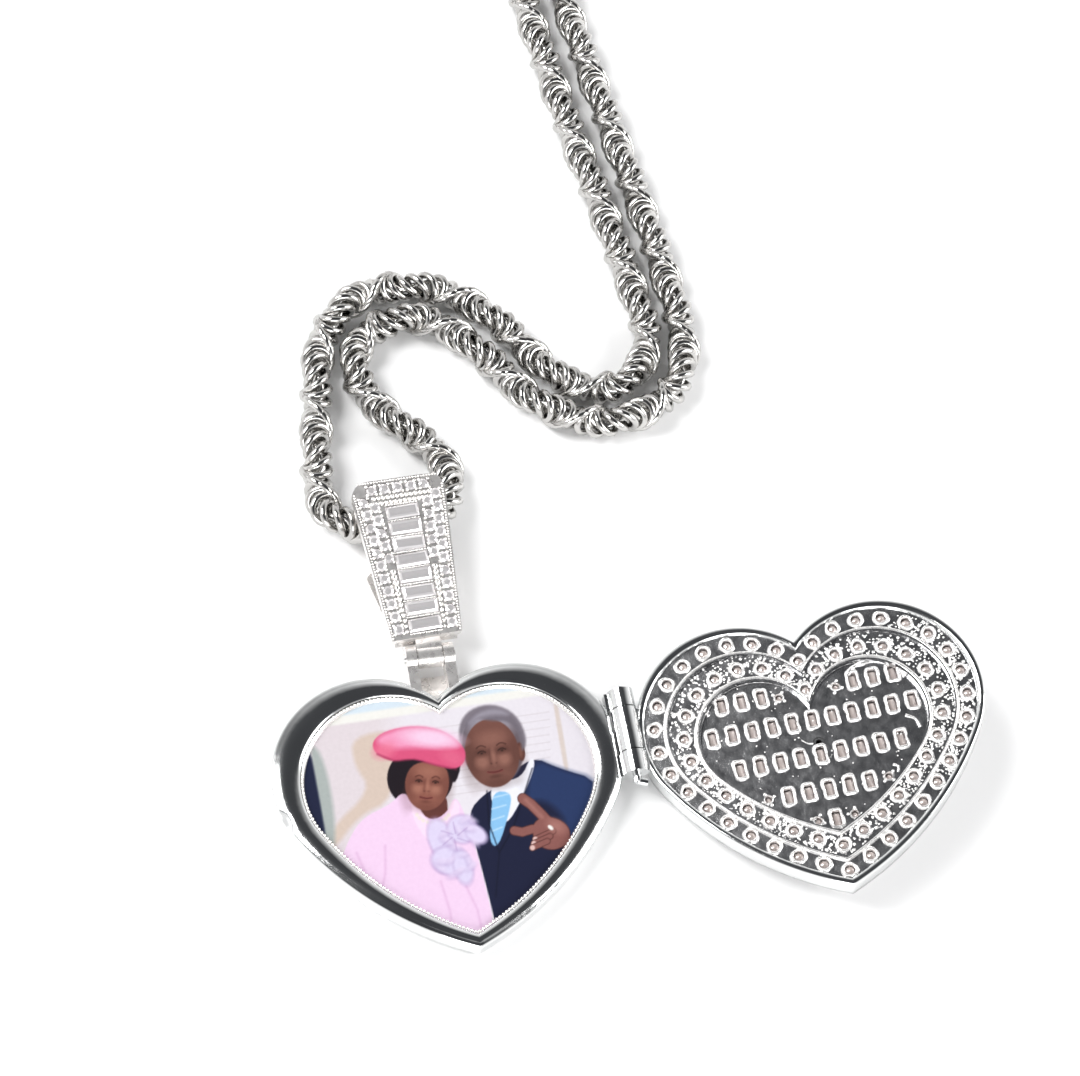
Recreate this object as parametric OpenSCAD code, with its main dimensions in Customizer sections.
// Heart photo locket on a rope chain.
// The case lies on its flat back, the lid is open at its stop, and the bail and the
// doubled chain lie beyond the heart's cleft. Millimetres.
// X points from the case towards the lid, Y from the heart's tip towards the bail, Z up.
// The origin is on the case's flat back, under the middle of the heart's lobes.

/* [Heart] */
// Width of the closed locket
heart_w = 36.2; // [20:0.1:60]
// Top of the lobes above the origin
heart_top = 9.7; // [5:0.1:20]
// How far the cleft dips below the lobes
heart_drop = 3.05; // [1:0.05:6]
// Tip of the heart below the origin
heart_tip = 20.5; // [10:0.1:40]
// Radius of the long side curves
side_r = 34.6; // [25:0.1:90]

/* [Case] */
// Thickness of the case
case_t = 3.2; // [2:0.1:8]
// Rounding of the case's back edge
back_round = 1.1; // [0.3:0.1:2]
// Width of the polished rim at the sides
rim_side = 2.9; // [1:0.1:6]
// Width of the rim at the lobes and at the tip
rim_ends = 2.0; // [1:0.1:6]
// Depth of the picture's recess
recess_d = 1.6; // [0.5:0.1:3]
// Radius of the thumb notch in the rim
notch_r = 2.6; // [1:0.1:4]
// Gap between the closed halves
mate_gap = 0.12; // [0.05:0.01:0.5]

/* [Picture] */
// Thickness of the backing plate under the picture
backing_t = 0.8; // [0.2:0.05:2]
// Thickness of the printed picture
print_t = 0.12; // [0.05:0.01:0.5]
// Width of the beaded lip that holds the picture
lip_w = 0.45; // [0.2:0.05:1]
// Height of that lip
lip_t = 0.35; // [0.1:0.05:1]

/* [Lid] */
// Depth of the lid's outer wall
lid_t = 3.1; // [2:0.1:6]
// Thickness of that wall
lid_wall = 0.9; // [0.5:0.05:2]
// Depth of the ring channels below the lid's rim
channel_d = 0.45; // [0.1:0.05:1]
// Depth of the centre field below the lid's rim
field_d = 0.7; // [0.1:0.05:1.5]
// Thickness of the stone plate at the outer ring
plate_t = 2.0; // [1:0.05:3]
// Rise of each terrace on the lid's front
terrace = 0.55; // [0:0.05:1.5]
// Width of the heart-shaped ridges
ridge_w = 0.35; // [0.2:0.05:1]
// Opening angle of the lid at its stop
open_angle = 168.6; // [90:0.1:180]

/* [Stones] */
// Radius of a round stone in the lid
stone_r = 0.76; // [0.4:0.01:1.5]
// Radius of the hole behind a round stone
stone_hole_r = 0.52; // [0.2:0.01:1]
// Stones on each side of the outer ring, between cleft and tip
outer_side_n = 17; // [8:1:30]
// Stones on each side of the inner ring, between cleft and tip
inner_side_n = 14; // [6:1:26]
// Width of a baguette stone in the lid
bag_w = 1.3; // [0.6:0.05:3]
// Length of a baguette stone in the lid
bag_l = 2.1; // [1:0.05:5]
// Spacing of the baguettes along a row
bag_pitch = 2.1; // [1.5:0.05:4]
// Radius of the small accent stones
accent_r = 0.5; // [0.3:0.01:1]
// Gap round a stone in its seat
seat_gap = 0.03; // [0.01:0.01:0.1]

/* [Hinge] */
// Radius of the hinge barrel
barrel_r = 1.35; // [0.8:0.05:3]
// Radius of the hinge pin
pin_r = 0.45; // [0.2:0.05:1]
// Gap between the two halves' walls and the barrel's axis
hinge_off = 0.78; // [0.5:0.01:2]
// Length of the upper case knuckle
knuckle_top = 2.0; // [1:0.1:4]
// Length of the lid's knuckle
knuckle_mid = 4.7; // [2:0.1:8]
// Length of the lower case knuckle
knuckle_low = 2.3; // [1:0.1:4]
// Gap between the knuckles' ends
knuckle_gap = 0.12; // [0.05:0.01:0.3]
// Running clearance of the lid's knuckle on the pin
hinge_fit = 0.04; // [0.01:0.01:0.1]

/* [Bail] */
// Distance of the bail's pivot from the origin
pivot_y = 11.6; // [8:0.1:30]
// Height of the pivot
pivot_z = 2.3; // [1.5:0.1:6]
// Radius of the cross-pin
cross_r = 0.5; // [0.2:0.05:1]
// Radius of the lugs' round tops
lug_r = 1.3; // [0.8:0.05:3]
// Thickness of a lug
lug_t = 1.1; // [0.5:0.05:3]
// Width of the tab between the lugs
tab_w = 2.6; // [1:0.1:6]
// Side gap between the tab and a lug
tab_gap = 0.12; // [0.05:0.01:0.3]
// Start of the bail's plate beyond the pivot
plate_start = 1.75; // [1:0.05:4]
// Length of the bail's plate
plate_l = 17.6; // [8:0.1:30]
// Width of the plate at the pivot end
plate_w0 = 7.4; // [4:0.1:12]
// Width of the plate at the far end
plate_w1 = 10.0; // [4:0.1:16]
// Thickness of the plate
plate_h = 1.1; // [0.6:0.05:3]
// Slope of the plate
plate_slope = 10; // [0:0.5:25]
// Turn of the plate to one side
plate_yaw = 3; // [-6:0.5:6]
// Thickness of the strap behind the chain
strap_t = 0.8; // [0.4:0.05:2]
// Width of the strap round the chain
strap_w = 4.6; // [3:0.1:8]
// Greatest width of the strap under the plate
strap_wide = 9.0; // [5:0.1:14]
// Length of a baguette across the bail
bail_bag_l = 3.5; // [2:0.1:8]
// Width of a baguette across the bail
bail_bag_w = 1.5; // [0.6:0.05:3]
// Number of baguettes in the bail
bail_bag_n = 8; // [3:1:16]
// Radius of the round stones along the bail's edges
bail_stone_r = 0.58; // [0.3:0.01:1]

/* [Chain] */
// Diameter of the rope chain
chain_d = 4.0; // [2:0.1:6]
// Outer radius of the stored coil
coil_out = 28.4; // [22:0.1:40]
// Inner radius of the stored coil
coil_in = 16.2; // [12:0.1:30]
// Radius of a chain end cap
cap_r = 2.2; // [1.5:0.05:4]
// Length of a chain end cap
cap_l = 4.5; // [2:0.1:8]
// Mean radius of a jump ring
jump_r = 1.7; // [1.2:0.05:3]
// Wire radius of the small rings
ring_wire = 0.35; // [0.2:0.05:0.8]
// Mean radius of the end ring
end_r = 2.6; // [1.8:0.1:5]
// Length of the lobster clasp
clasp_l = 12; // [9:0.5:20]
// Thickness of the lobster clasp
clasp_t = 2.6; // [1.5:0.1:4]

/* [Hidden] */
$fn = 48;
eps = 0.01;
steel = [0.80, 0.80, 0.79];
bright = [0.88, 0.88, 0.87];
crystal = [0.90, 0.93, 0.95];
half_w = heart_w / 2;
mate_z = case_t - mate_gap / 2;         // top of the case's rim
hinge_x = half_w + hinge_off;
hinge_z = case_t;
lid_rest = 180 - open_angle;            // how far the lid stands up from flat
barrel_l = knuckle_top + knuckle_mid + knuckle_low + 2 * knuckle_gap;
barrel_y = 0.1 + barrel_l / 2;          // upper end of the barrel
recess_z = mate_z - recess_d;
print_z = recess_z + backing_t;
lug_in = tab_w / 2 + tab_gap;
// Insets on the lid: a ring of stones, a ridge, a second ring and a second ridge.
// Each ring clears the wall or the ridges beside it where the outlines come closest.
stone_span = (stone_r + seat_gap) / least_gap(lid_wall, lid_wall + 1);
ring_1 = lid_wall + stone_span;
ridge_1 = ring_1 + stone_span + 0.19;
ring_2 = ridge_1 + 1.7;
ridge_2 = ring_2 + stone_span + 0.34;
seat_d = 0.7;                           // depth of a round stone's seat
plate_y = pivot_y + plate_start;
plate_z = pivot_z + 0.7;
loop_y = plate_y + plate_l * cos(plate_slope) - strap_t - chain_d / 2 - 0.35;
loop_z = strap_t + 0.15 + chain_d / 2 + 0.15;
loop_r = chain_d / 2 + 0.15;            // inside of the bail's round end

// Route of each half of the chain, from the middle of the bail to the coil
left_route = [[-0.02, 27, 3.1], [-3, 26.9, 3.05], [-5.9, 27.7, 2.7], [-8, 29.8, 2.3],
    [-8.7, 32.9, 2], [-8.3, 37, 2], [-7.6, 42.4, 2], [-6.9, 47.2, 2], [-5.6, 51.8, 2],
    [-2.6, 55.7, 2], [1.5, 57.6, 2], [6, 57.5, 2], [10.1, 55.8, 2], [13.4, 52.9, 2],
    [16.1, 49.2, 2], [18.5, 45.6, 2], [21.2, 43, 2], [24.5, 42.1, 2], [27.6, 43, 2],
    [30, 45.6, 2], [30.8, 49, 2], [30.5, 54, 2], [29.8, 60, 2], [28.8, 68, 2],
    [27.5, 77, 2], [26.4, 87, 2], [25.3, 98, 2], [24.3, 110, 2], [23.7, 121, 2],
    [23.6, 132.5, 2]];
right_route = [[0.02, 27, 3.1], [2.8, 27.8, 3], [4.8, 29.9, 2.7], [5.5, 32.7, 2.3],
    [4.8, 35.6, 2], [2.9, 38.1, 2], [0.6, 40.6, 2], [-1.5, 43.4, 2], [-2.6, 46.7, 2],
    [-2, 50, 2], [0.3, 52.5, 2], [3.7, 53.5, 2], [7.2, 52.5, 2], [10.1, 50, 2],
    [12.6, 46.7, 2], [15, 43.2, 2], [18, 40.2, 2], [21.6, 38.3, 2], [25.6, 37.9, 2],
    [29.5, 39, 2], [32.6, 41.6, 2], [34.5, 45.2, 2], [34.9, 49.4, 2], [34.7, 55, 2],
    [34.1, 62, 2], [33.2, 70, 2], [32.2, 79, 2], [31.2, 88, 2], [30.2, 98, 2],
    [29.2, 110, 2], [28.3, 121, 2], [27.8, 132.5, 2]];
coil_x = 1.5;
coil_y = 132.5;
// Each half leaves the inside of the coil and ends in its cap
left_tail = [[-14.6, 126.8, 2], [-11.8, 122.3, 2], [-7.6, 119.6, 2], [-2.6, 119.7, 2]];
right_tail = [[19.4, 131, 2], [18.4, 135.9, 2], [15.5, 139.8, 2], [11.4, 141.9, 2], [7, 141.8, 2]];
left_heading = 12;
right_heading = 198;

// Heart outline
// Each half is a lobe arc and a long side arc that it meets in a tangent.

function lobe_r(hw, drop) = hw + drop - sqrt(2 * hw * drop);

function side_centre(l, r, big, tip) =
    let (t = [0, tip], d = norm(l - t), u = (t - l) / d,
         x = (pow(big - r, 2) - big * big + d * d) / (2 * d),
         y = sqrt(max(0, pow(big - r, 2) - x * x)))
    l + u * x - [-u[1], u[0]] * y;

// [lobe centre, lobe radius, side centre, side radius, cleft angle, tangent angle, tip angle]
function arcs(hw, top, drop, tip, big) =
    let (r = lobe_r(hw, drop), l = [hw - r, top - r], c = side_centre(l, r, big, tip),
         k = l - c)
    [l, r, c, big, acos(-l[0] / r), atan2(k[1], k[0]), atan2(tip - c[1], -c[0])];

function arc_points(c, r, a0, a1, n) =
    [for (i = [0:n]) let (a = a0 + (a1 - a0) * i / n) c + r * [cos(a), sin(a)]];

function half_heart(a, n1 = 26, n2 = 22) = concat(
    arc_points(a[0], a[1], a[4], a[5], n1),
    [for (i = [1:n2]) let (t = a[5] + (a[6] - a[5]) * i / n2) a[2] + a[3] * [cos(t), sin(t)]]);

function mirrored(p) = [for (i = [len(p) - 2:-1:1]) [-p[i][0], p[i][1]]];

function closed(a) = let (p = half_heart(a)) concat(p, mirrored(p));

// The outline moved inwards by i
function inset(i) = arcs(half_w - i, heart_top - 1.03 * i, heart_drop + 0.13 * i,
    -heart_tip + 0.95 * i, side_r - i);

// Least distance between two insets of the outline
function least_gap(i, j) = let (a = half_heart(inset(i), 60, 60), b = half_heart(inset(j), 60, 60))
    min([for (p = a) for (q = b) norm(p - q)]);

// The picture's opening, with a wider rim at the sides than at the ends
function opening(i = 0) = arcs(half_w - rim_side - i, heart_top - rim_ends - 0.25 - i,
    heart_drop - 0.9 + 0.1 * i, -heart_tip + rim_ends * 0.75 + i, side_r - rim_side - i);

// A point at arc length s from the cleft, and the half's whole length
function lobe_len(a) = a[1] * (a[4] - a[5]) * PI / 180;
function side_len(a) = a[3] * abs(a[6] - a[5]) * PI / 180;
function at(a, s) = s < lobe_len(a)
    ? a[0] + a[1] * [cos(a[4] - s / a[1] * 180 / PI), sin(a[4] - s / a[1] * 180 / PI)]
    : let (t = a[5] - (s - lobe_len(a)) / a[3] * 180 / PI) a[2] + a[3] * [cos(t), sin(t)];

// n stones on each side, one in the cleft and one at the tip
function ring_places(a, n) =
    let (l = lobe_len(a) + side_len(a), p = [for (k = [1:n]) at(a, l * k / (n + 1))])
    concat([at(a, 0), at(a, l)], p, [for (q = p) [-q[0], q[1]]]);

module heart(i = 0) {
    polygon(closed(inset(i)));
}

module heart_ring(i0, i1) {
    difference() {
        heart(i0);
        heart(i1);
    }
}

// Shapes used more than once

// A solid through rings of points, all with the same number
module skin(rings) {
    n = len(rings[0]);
    m = len(rings);
    polyhedron([for (r = rings) for (p = r) p],
        concat([[for (j = [0:n - 1]) j]],
            [for (i = [0:m - 2]) for (j = [0:n - 1])
                [i * n + j, (i + 1) * n + j, (i + 1) * n + (j + 1) % n, i * n + (j + 1) % n]],
            [[for (j = [n - 1:-1:0]) (m - 1) * n + j]]));
}

module rod(r, l) {
    rotate([-90, 0, 0])
        cylinder(r = r, h = l);
}

module cross_rod(r, l) {
    rotate([0, 90, 0])
        cylinder(r = r, h = l, center = true);
}

module ring(r, w) {
    rotate_extrude()
        translate([r, 0])
            circle(w, $fn = 24);
}

// Round stone with its table up and its girdle at z = 0
module brilliant(r) {
    rotate_extrude()
        polygon([[0, -0.7 * r], [0.25 * r, -0.7 * r], [r, 0], [r, 0.1 * r],
            [0.58 * r, 0.42 * r], [0, 0.42 * r]]);
}

// Rectangular stone, w along X and l along Y, girdle at z = 0
module baguette(w, l) {
    function level(s, z) = [[-w / 2 + s, -l / 2 + s, z], [w / 2 - s, -l / 2 + s, z],
        [w / 2 - s, l / 2 - s, z], [-w / 2 + s, l / 2 - s, z]];
    skin([level(0.3, -0.45), level(0, 0), level(0, 0.08), level(0.24, 0.34)]);
}

// A tube through points, with a ring of 8 corners at each
function direction(p, k) = let (a = p[max(0, k - 1)], b = p[min(len(p) - 1, k + 1)])
    (b - a) / norm(b - a);

module tube(p, d) {
    skin([for (k = [0:len(p) - 1])
        let (t = direction(p, k), s = cross(t, [0, 0, 1]) / norm(cross(t, [0, 0, 1])),
             u = cross(s, t))
        [for (j = [0:7]) p[k] + d / 2 * (cos(45 * j + 22.5) * s + sin(45 * j + 22.5) * u)]]);
}

// Case

function case_level(i, z) = [for (p = closed(inset(i))) [p[0], p[1], z]];

// The space that the picture and its backing fill
module recess() {
    translate([0, 0, recess_z])
        linear_extrude(recess_d + 1)
            polygon(closed(opening()));
}

module case_shell() {
    color(steel)
    difference() {
        skin(concat(
            [for (a = [0:15:90]) case_level(back_round * (1 - sin(a)), back_round * (1 - cos(a)))],
            [case_level(0, mate_z - 0.25), case_level(0.08, mate_z - 0.08), case_level(0.25, mate_z)]));
        recess();
        // room for the lid's knuckle
        translate([hinge_x, barrel_y - knuckle_top - 2 * knuckle_gap - knuckle_mid, hinge_z])
            rod(barrel_r + 0.2, knuckle_mid + 2 * knuckle_gap);
        // thumb notch, and the dimple beside it
        translate([-half_w - 0.7, -5.6, case_t + 1])
            sphere(notch_r, $fn = 40);
        translate([-half_w + 1.5, -2.2, mate_z])
            sphere(0.4, $fn = 20);
    }
}

module photo_lip() {
    color(bright)
    translate([0, 0, print_z + print_t])
        linear_extrude(lip_t)
            difference() {
                polygon(closed(opening()));
                polygon(closed(opening(lip_w)));
            }
}

module photo_backing() {
    color([0.7, 0.7, 0.7])
    translate([0, 0, recess_z])
        linear_extrude(backing_t)
            polygon(closed(opening(0.05)));
}

module photo_print() {
    color([0.85, 0.72, 0.75])
    translate([0, 0, print_z])
        linear_extrude(print_t)
            polygon(closed(opening(0.05)));
}

// Hinge

module knuckle(y0, l, bore) {
    difference() {
        union() {
            translate([0, y0, 0])
                rod(barrel_r, l);
            children();
        }
        translate([0, y0 - 1, 0])
            rod(bore, l + 2);
    }
}

module case_knuckle(y0, l) {
    translate([hinge_x, 0, hinge_z])
        knuckle(y0, l, pin_r + 0.005)
            translate([-hinge_off - 0.9, y0, -1.3])
                cube([hinge_off + 0.9, l, 1.3 - mate_gap]);
}

module case_knuckles() {
    color(steel) {
        case_knuckle(barrel_y - knuckle_top, knuckle_top);
        case_knuckle(barrel_y - barrel_l, knuckle_low);
    }
}

module hinge_pin() {
    color(bright)
    translate([hinge_x, 0, hinge_z]) {
        translate([0, barrel_y - barrel_l - 0.9, 0])
            rod(pin_r, barrel_l + 0.9);
        translate([0, barrel_y, 0])
            rod(pin_r + 0.25, 0.35);
        // the tip, bent over
        translate([0, barrel_y - barrel_l - 0.75, 0])
            rotate([0, 90, -20])
                cylinder(r = pin_r * 0.9, h = 1.0);
    }
}

// Lid, drawn with its rim at z = 0 and its front downwards

module lid_place() {
    translate([hinge_x, 0, hinge_z])
        rotate([0, -lid_rest, 0])
            translate([hinge_x, 0, -mate_gap / 2])
                children();
}

module lid_relief(y0, l) {
    translate([-hinge_x, y0 - knuckle_gap, mate_gap / 2])
        rod(barrel_r + 0.2, l + 2 * knuckle_gap);
}

module lid_frame() {
    color(steel)
    lid_place()
        difference() {
            translate([0, 0, -lid_t])
                linear_extrude(lid_t)
                    heart_ring(0, lid_wall);
            lid_relief(barrel_y - knuckle_top, knuckle_top);
            lid_relief(barrel_y - barrel_l, knuckle_low);
        }
}

module lid_knuckle() {
    y0 = barrel_y - knuckle_top - knuckle_gap - knuckle_mid;
    color(steel)
    lid_place()
        translate([-hinge_x, 0, mate_gap / 2])
            knuckle(y0, knuckle_mid, pin_r + hinge_fit)
                translate([0, y0, -1.3])
                    cube([hinge_off + 0.7, knuckle_mid, 1.3 - mate_gap]);
}

front_1 = -channel_d - plate_t;         // fronts of the three terraces
front_2 = front_1 - terrace;
front_3 = front_2 - terrace;
outer_places = ring_places(inset(ring_1), outer_side_n);
inner_places = ring_places(inset(ring_2), inner_side_n);
// Rows of baguettes across the field: [y, first place, last place] in pitches
rows = [[1.3, -4.2, -2.2], [1.3, 2.4, 4.4], [-2.1, -5, 5], [-6.0, -4, 4], [-9.8, -2, 2],
    [-13.1, 0, 0]];
bag_places = [for (r = rows) for (k = [r[1]:1:r[2] + eps]) [k * bag_pitch, r[0]]];
accent_places = [for (q = [[-5.1, 1.15], [-1.35, 0.95], [1.5, 0.95], [5.3, 0.95], [-3, -9.75],
    [2.95, -9.75], [-0.9, -13], [0.9, -13]]) [q[0] * bag_pitch, q[1]]];

module stone_seat(p, r, hole, front) {
    translate([p[0], p[1], front - eps])
        cylinder(r = r + seat_gap, h = seat_d);
    translate([p[0], p[1], front])
        cylinder(r = hole, h = 6, $fn = 24);
}

module lid_plate() {
    color(steel)
    lid_place()
        difference() {
            union() {
                translate([0, 0, front_1])
                    linear_extrude(plate_t)
                        heart(lid_wall);
                translate([0, 0, front_2])
                    linear_extrude(-front_2 - channel_d)
                        heart(ridge_1);
                translate([0, 0, front_3])
                    linear_extrude(-front_3 - channel_d)
                        heart(ridge_2);
                for (i = [ridge_1, ridge_2])
                    translate([0, 0, -channel_d - eps])
                        linear_extrude(channel_d - 0.1)
                            heart_ring(i - ridge_w / 2, i + ridge_w / 2);
            }
            translate([0, 0, -field_d])
                linear_extrude(2)
                    heart(ridge_2 + ridge_w / 2);
            for (p = outer_places)
                stone_seat(p, stone_r, stone_hole_r, front_1);
            for (p = inner_places)
                stone_seat(p, stone_r, stone_hole_r, front_2);
            for (p = accent_places)
                stone_seat(p, accent_r, accent_r * 0.7, front_3);
            for (p = bag_places)
                translate([p[0], p[1], front_3]) {
                    translate([0, 0, seat_d / 2 - eps])
                        cube([bag_w + 2 * seat_gap, bag_l + 2 * seat_gap, seat_d], center = true);
                    translate([0, 0, 3])
                        cube([bag_w - 0.45, bag_l - 0.5, 6], center = true);
                }
            // the small vent hole between the rows
            translate([0.1, -4.7, -4])
                cylinder(r = 0.35, h = 6, $fn = 24);
        }
}

module lid_stones(places, r, front) {
    color(crystal)
    lid_place()
        for (p = places)
            translate([p[0], p[1], front + 0.1 * r])
                rotate([180, 0, 0])
                    brilliant(r);
}

module lid_outer_stones() {
    lid_stones(outer_places, stone_r, front_1);
}

module lid_inner_stones() {
    lid_stones(inner_places, stone_r, front_2);
}

module lid_accent_stones() {
    lid_stones(accent_places, accent_r, front_3);
}

module lid_baguettes() {
    color(crystal)
    lid_place()
        for (p = bag_places)
            translate([p[0], p[1], front_3 + 0.08])
                rotate([180, 0, 0])
                    baguette(bag_w, bag_l);
}

// Bail

module lug(x) {
    root_y = heart_top - heart_drop - 0.3;
    translate([x - lug_t / 2, 0, 0])
        difference() {
            union() {
                translate([lug_t / 2, pivot_y, pivot_z])
                    cross_rod(lug_r, lug_t);
                translate([0, root_y, pivot_z - lug_r])
                    cube([lug_t, pivot_y - root_y, mate_z - 0.2 - pivot_z + lug_r]);
            }
            translate([lug_t / 2, pivot_y, pivot_z])
                cross_rod(cross_r + 0.005, lug_t + 1);
        }
}

module bail_lugs() {
    color(steel)
    difference() {
        for (s = [-1, 1])
            lug(s * (lug_in + lug_t / 2));
        recess();
    }
}

module cross_pin() {
    color(bright)
    translate([0, pivot_y, pivot_z])
        cross_rod(cross_r, 2 * (lug_in + lug_t) + 0.3);
}

// The bail's plate, drawn flat from its pivot end along Y
module bail_turn() {
    translate([0, pivot_y, 0])
        rotate(plate_yaw)
            translate([0, -pivot_y, 0])
                children();
}

module plate_place() {
    bail_turn()
        translate([0, plate_y, plate_z])
            rotate([plate_slope, 0, 0])
                children();
}

function plate_half(y) = (plate_w0 + (plate_w1 - plate_w0) * y / plate_l) / 2;

module plate_outline() {
    r = 1.8;
    k = plate_half(plate_l);
    polygon(concat([[-plate_w0 / 2, 0], [plate_w0 / 2, 0]],
        arc_points([k - r, plate_l - r], r, 0, 90, 6),
        arc_points([-k + r, plate_l - r], r, 90, 180, 6)));
}

bail_bag_y = [for (k = [0:bail_bag_n - 1]) 1.35 + k * (bail_bag_w + 0.28)];
edge_y = [for (k = [0:10]) 1.1 + k * 1.42];
bail_stones = concat(
    [for (y = edge_y) for (s = [-1, 1]) [s * (plate_half(y) - 0.95), y]],
    [for (y = edge_y) for (s = [-1, 1]) let (x = plate_half(y) - 2.0)
        if (x - bail_stone_r > bail_bag_l / 2 + 2 * seat_gap) [s * x, y - 0.7]],
    [for (x = [-2:2]) [x * 1.42, plate_l - 1.05]]);

// The strap's outline from above: wide under the plate, narrow round the chain
module strap_outline() {
    shoulder = loop_y - chain_d / 2 - 1.0;
    polygon([[strap_w / 2, plate_y + plate_l], [strap_w / 2, shoulder],
        [strap_wide / 2, shoulder - 2.4], [plate_w0 / 2 - 0.5, plate_y - 1],
        [-plate_w0 / 2 + 0.5, plate_y - 1], [-strap_wide / 2, shoulder - 2.4],
        [-strap_w / 2, shoulder], [-strap_w / 2, plate_y + plate_l]]);
}

module strap() {
    low = loop_z - loop_r - strap_t;
    intersection() {
        linear_extrude(plate_z + 4)
            strap_outline();
        union() {
            rotate([90, 0, 90])
                linear_extrude(strap_wide + 1, center = true)
                    polygon([[loop_y + eps, low], [loop_y + eps, low + strap_t],
                        [loop_y - 4, low + strap_t], [plate_y + 0.9, plate_z + 0.3],
                        [plate_y, plate_z], [plate_y - 0.2, plate_z - 0.6], [loop_y - 4.4, low]]);
            intersection() {
                translate([0, loop_y, loop_z])
                    cross_rod(loop_r + strap_t, strap_w);
                translate([-strap_w, loop_y, 0])
                    cube([2 * strap_w, 10, 12]);
            }
        }
    }
}

module bail_body() {
    color(steel)
    difference() {
        union() {
            plate_place()
                linear_extrude(plate_h)
                    plate_outline();
            bail_turn()
                strap();
            // tab round the cross-pin
            translate([0, pivot_y, pivot_z])
                cross_rod(lug_r - 0.15, tab_w);
            translate([-tab_w / 2, pivot_y, pivot_z - 0.6])
                cube([tab_w, plate_start + 0.4, 1.6]);
        }
        // inside of the round end
        bail_turn()
            translate([0, loop_y, loop_z])
                cross_rod(loop_r, strap_w + 2);
        translate([0, pivot_y, pivot_z])
            cross_rod(cross_r + hinge_fit, tab_w + 2);
        // stone seats
        plate_place() {
            for (y = bail_bag_y)
                translate([0, y, plate_h])
                    cube([bail_bag_l + 2 * seat_gap, bail_bag_w + 2 * seat_gap, 1.1], center = true);
            for (p = bail_stones)
                translate([p[0], p[1], plate_h - 0.5])
                    cylinder(r = bail_stone_r + seat_gap, h = 1, $fn = 24);
        }
    }
}

module bail_baguettes() {
    color(crystal)
    plate_place()
        for (y = bail_bag_y)
            translate([0, y, plate_h - 0.08])
                rotate(90)
                    baguette(bail_bag_w, bail_bag_l);
}

module bail_round_stones() {
    color(crystal)
    plate_place()
        for (p = bail_stones)
            translate([p[0], p[1], plate_h - 0.06])
                brilliant(bail_stone_r);
}

// Chain

module chain_left() {
    color(bright) {
        tube(left_route, chain_d);
        tube(left_tail, chain_d);
    }
}

module chain_right() {
    color(bright) {
        tube(right_route, chain_d);
        tube(right_tail, chain_d);
    }
}

module chain_coil() {
    color(bright)
    translate([coil_x, coil_y, 0])
        rotate_extrude($fn = 96)
            translate([coil_in, 0])
                square([coil_out - coil_in, chain_d]);
}

// Pieces on a chain end are drawn along X from the end of the chain
module at_end(tail, heading) {
    p = tail[len(tail) - 1];
    translate([p[0], p[1], 0])
        rotate(heading)
            children();
}

loop_x = cap_l + 1.0;                   // middle of the cap's loop
jump_x = loop_x + jump_r;               // middle of the jump ring
wire_z = jump_r + ring_wire;

module end_cap() {
    translate([0.02, 0, wire_z + 0.15])
        rotate([0, 90, 0])
            cylinder(r = cap_r, h = cap_l - 0.02);
    translate([loop_x, 0, wire_z])
        ring(1.1, ring_wire);
}

module jump_ring() {
    translate([jump_x, 0, wire_z])
        rotate([90, 0, 0])
            ring(jump_r, ring_wire);
}

module left_cap() {
    color(bright)
    at_end(left_tail, left_heading)
        end_cap();
}

module right_cap() {
    color(bright)
    at_end(right_tail, right_heading)
        end_cap();
}

module left_jump_ring() {
    color(bright)
    at_end(left_tail, left_heading)
        jump_ring();
}

module right_jump_ring() {
    color(bright)
    at_end(right_tail, right_heading)
        jump_ring();
}

module end_ring() {
    color(bright)
    at_end(left_tail, left_heading)
        translate([jump_x + 0.9, 0, wire_z])
            rotate([0, 12, 0])
                translate([end_r, 0, 0])
                    ring(end_r, 0.45);
}

// Clasp, drawn flat along X from the middle of its eye
clasp_nose = 2.9;
clasp_mid = clasp_l - clasp_nose - 1.6;
gate_x = 3.4;
gate_y = 1.45;

module clasp_place() {
    at_end(right_tail, right_heading)
        translate([jump_x + 1.55, 0, wire_z])
            rotate([0, 4, 0])
                children();
}

module clasp_band() {
    difference() {
        hull() {
            translate([2.6, 0])
                circle(1.7);
            translate([clasp_mid, 0])
                circle(clasp_nose);
        }
        hull() {
            translate([5.0, -0.1])
                circle(0.8);
            translate([clasp_mid, 0])
                circle(clasp_nose - 1.05);
        }
    }
}

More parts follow.
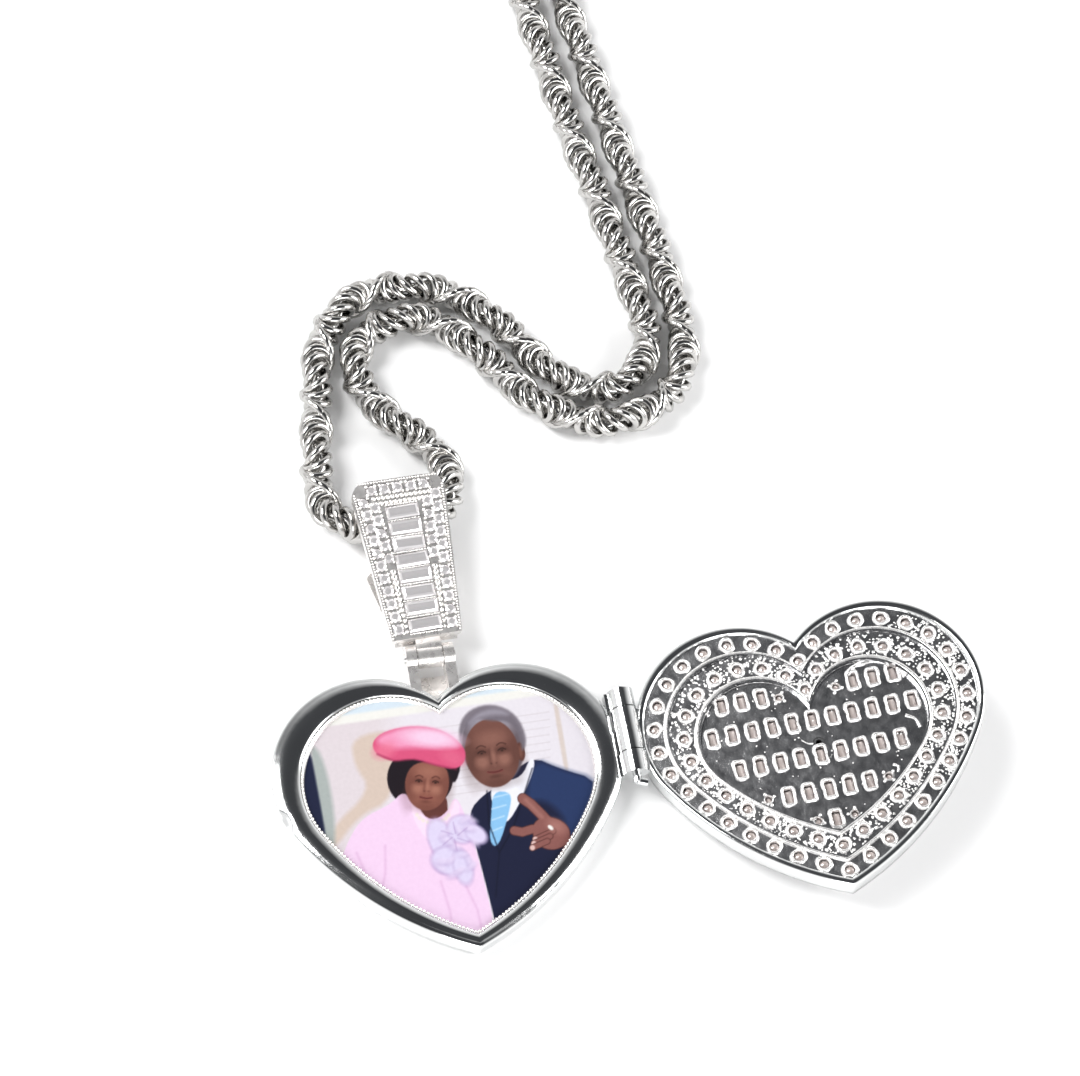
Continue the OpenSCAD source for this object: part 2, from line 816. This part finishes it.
// Where the gate fills the band, with gap g, and with room at its heel to turn
module gate_region(g = 0, heel = 0) {
    intersection() {
        translate([gate_x + 1.2 - heel, 0.2 - g])
            square([clasp_mid, 5]);
        translate([gate_x, gate_y - 0.3])
            circle(clasp_mid - gate_x + 0.3 + g);
    }
}

module clasp_body() {
    color(bright)
    clasp_place()
        difference() {
            union() {
                linear_extrude(clasp_t, center = true)
                    difference() {
                        clasp_band();
                        gate_region(0.1, 0.48);
                    }
                ring(1.25, 0.4);
            }
            // slot and hole for the gate
            translate([gate_x, gate_y, 0])
                cylinder(r = 1.2, h = 1.3, center = true);
            linear_extrude(1.3, center = true)
                translate([gate_x - 0.2, gate_y - 1.0])
                    square([3, 4]);
            translate([gate_x, gate_y - 0.3, 0])
                cylinder(r = 0.3 + 0.005, h = clasp_t + 1, center = true);
        }
}

module clasp_pivot() {
    color(bright)
    clasp_place()
        translate([gate_x, gate_y - 0.3, 0])
            cylinder(r = 0.3, h = clasp_t + 0.1, center = true);
}

module clasp_gate() {
    color(bright)
    clasp_place()
        difference() {
            union() {
                linear_extrude(clasp_t - 0.2, center = true)
                    intersection() {
                        clasp_band();
                        gate_region();
                    }
                linear_extrude(1.1, center = true)
                    intersection() {
                        clasp_band();
                        translate([gate_x, gate_y - 0.6])
                            square([2, 4]);
                    }
                translate([gate_x, gate_y - 0.3, 0])
                    cylinder(r = 0.75, h = 1.1, center = true);
                // thumb lever
                translate([gate_x + 1.7, gate_y + 0.9, 0])
                    cylinder(r = 0.7, h = 1.1, center = true);
            }
            translate([gate_x, gate_y - 0.3, 0])
                cylinder(r = 0.3 + hinge_fit, h = clasp_t, center = true);
        }
}

case_shell();
photo_lip();
photo_backing();
photo_print();
case_knuckles();
hinge_pin();
bail_lugs();
cross_pin();
lid_frame();
lid_plate();
lid_knuckle();
lid_outer_stones();
lid_inner_stones();
lid_baguettes();
lid_accent_stones();
bail_body();
bail_baguettes();
bail_round_stones();
chain_left();
chain_right();
chain_coil();
left_cap();
right_cap();
left_jump_ring();
right_jump_ring();
end_ring();
clasp_body();
clasp_pivot();
clasp_gate();
